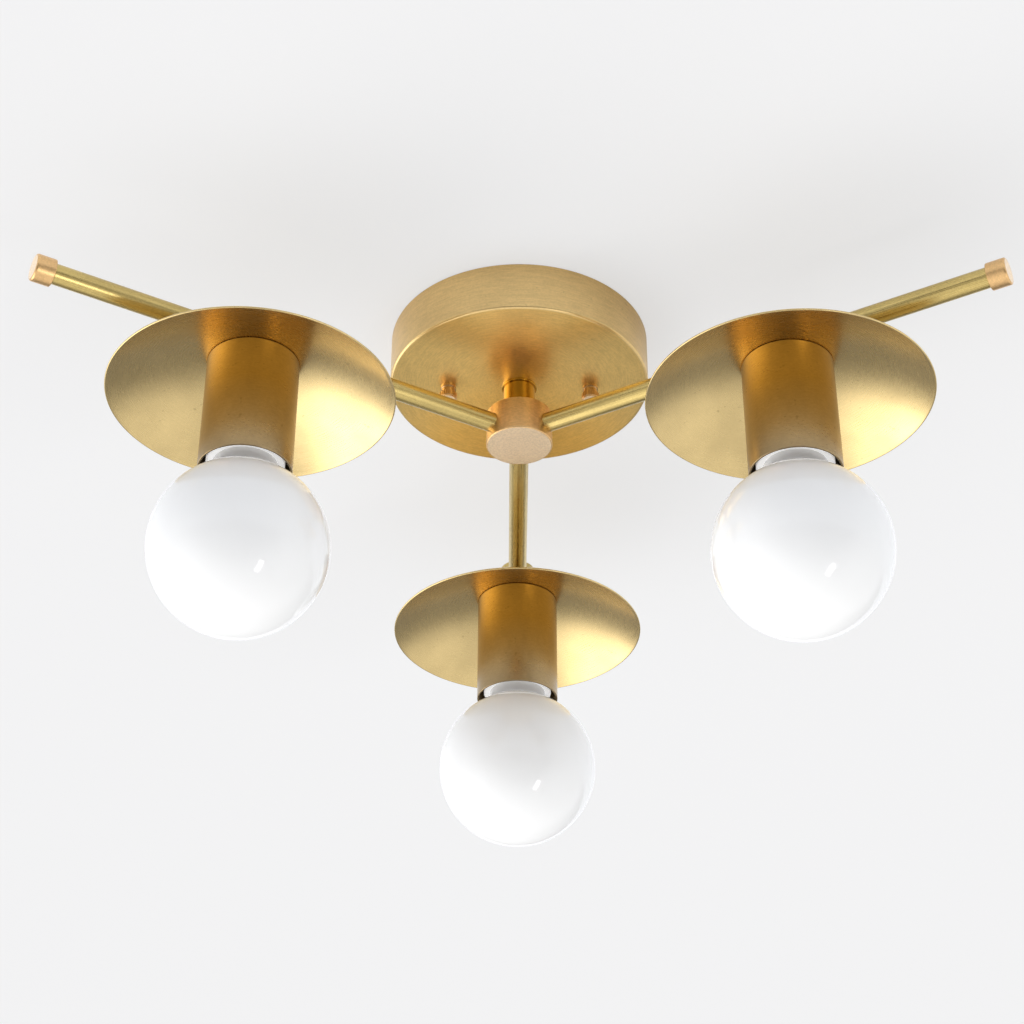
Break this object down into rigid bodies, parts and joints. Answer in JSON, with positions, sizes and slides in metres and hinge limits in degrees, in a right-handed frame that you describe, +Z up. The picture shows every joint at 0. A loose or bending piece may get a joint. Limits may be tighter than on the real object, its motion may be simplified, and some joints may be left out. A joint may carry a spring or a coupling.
{
  "type": "semi flush ceiling light",
  "caption": "Brass semi flush ceiling light: round canopy, short neck and hub, straight radial arms with shallow dish shades, socket cups and opal globe bulbs.",
  "frame": {"origin": "centre of the crossbar and canopy, in the ceiling plane", "axes": "+Z up through the neck, into the ceiling; X along the two cap nuts; +Y along the third arm"},
  "size_m": [0.4332, 0.3823, 0.2038],
  "materials": {
    "satin_brass": "satin, faint circular brushing",
    "polished_brass": "polished",
    "machined_brass": "fine machined",
    "brushed_brass": "brushed lengthwise",
    "spun_brass": "satin, lightly aged",
    "cup_brass": "satin",
    "plain_brass": "plain turned",
    "zinc_steel": "zinc plated",
    "green_screw": "green dyed",
    "black_plastic": "moulded",
    "block_plastic": "moulded",
    "opal_globe": "glossy opal white",
    "white_collar": "moulded white",
    "nickel_cap": "nickel plated",
    "insulator": "glazed black",
    "live_insulation": "black wire insulation",
    "neutral_insulation": "white wire insulation",
    "ground_insulation": "green wire insulation"
  },
  "bodies": {
    "fixture": {"crossbar": "zinc_steel", "ground_screw": "green_screw", "canopy_studs": "plain_brass", "stud_lock_nuts": "zinc_steel", "canopy": "satin_brass", "centre_nipple": "zinc_steel", "nipple_lock_nut": "plain_brass", "nipple_washer": "zinc_steel", "neck": "polished_brass", "hub_body": "machined_brass", "hub_cover": "plain_brass", "terminal_block": "block_plastic", "coupling_set_screws": "zinc_steel", "lamp_nipples": "zinc_steel", "lamp_lock_nuts": "plain_brass", "terminal_screws": "plain_brass", "live_wires": "live_insulation", "neutral_wires": "neutral_insulation", "ground_wire": "ground_insulation", "arm_1": "brushed_brass", "arm_2": "brushed_brass", "arm_3": "brushed_brass", "end_cap_1": "machined_brass", "end_cap_2": "machined_brass", "end_cap_3": "machined_brass", "coupling_1": "plain_brass", "coupling_2": "plain_brass", "coupling_3": "plain_brass", "shade_1": "spun_brass", "shade_2": "spun_brass", "shade_3": "spun_brass", "cup_1": "cup_brass", "cup_2": "cup_brass", "cup_3": "cup_brass", "socket_cap_1": "black_plastic", "socket_cap_2": "black_plastic", "socket_cap_3": "black_plastic", "socket_body_1": "black_plastic", "socket_body_2": "black_plastic", "socket_body_3": "black_plastic", "socket_shell_1": "plain_brass", "socket_shell_2": "plain_brass", "socket_shell_3": "plain_brass", "socket_contact_1": "plain_brass", "socket_contact_2": "plain_brass", "socket_contact_3": "plain_brass"},
    "nut_left": {"cap_nut_left": "machined_brass"},
    "nut_right": {"cap_nut_right": "machined_brass"},
    "bulb_1_contact": {"bulb_tip_1": "insulator"},
    "bulb_1": {"globe_1": "opal_globe", "bulb_collar_1": "white_collar", "bulb_cap_1": "nickel_cap"},
    "bulb_2_contact": {"bulb_tip_2": "insulator"},
    "bulb_2": {"globe_2": "opal_globe", "bulb_collar_2": "white_collar", "bulb_cap_2": "nickel_cap"},
    "bulb_3_contact": {"bulb_tip_3": "insulator"},
    "bulb_3": {"globe_3": "opal_globe", "bulb_collar_3": "white_collar", "bulb_cap_3": "nickel_cap"}
  },
  "joints": [
    {"name": "cap_nut_left_off", "type": "slide", "parent": "fixture", "child": "nut_left", "axis": [0, 0, -1], "range_m": [0, 0.01]},
    {"name": "cap_nut_right_off", "type": "slide", "parent": "fixture", "child": "nut_right", "axis": [0, 0, -1], "range_m": [0, 0.01]},
    {"name": "bulb_1_travel", "type": "slide", "parent": "fixture", "child": "bulb_1_contact", "axis": [0, 0, -1], "range_m": [0, 0.01835]},
    {"name": "bulb_1_turn", "type": "hinge", "parent": "bulb_1_contact", "child": "bulb_1", "pos_m": [-0.12159, -0.0702, -0.1], "axis": [0, 0, -1], "range_deg": [0, 1800]},
    {"name": "bulb_2_travel", "type": "slide", "parent": "fixture", "child": "bulb_2_contact", "axis": [0, 0, -1], "range_m": [0, 0.01835]},
    {"name": "bulb_2_turn", "type": "hinge", "parent": "bulb_2_contact", "child": "bulb_2", "pos_m": [0.12159, -0.0702, -0.1], "axis": [0, 0, -1], "range_deg": [0, 1800]},
    {"name": "bulb_3_travel", "type": "slide", "parent": "fixture", "child": "bulb_3_contact", "axis": [0, 0, -1], "range_m": [0, 0.01835]},
    {"name": "bulb_3_turn", "type": "hinge", "parent": "bulb_3_contact", "child": "bulb_3", "pos_m": [0, 0.1404, -0.1], "axis": [0, 0, -1], "range_deg": [0, 1800]}
  ],
  "couplings": [
    {"joint": "bulb_1_travel", "follows": "bulb_1_turn", "m_per_rad": 0.00057757},
    {"joint": "bulb_2_travel", "follows": "bulb_2_turn", "m_per_rad": 0.00057757},
    {"joint": "bulb_3_travel", "follows": "bulb_3_turn", "m_per_rad": 0.00057757}
  ]
}
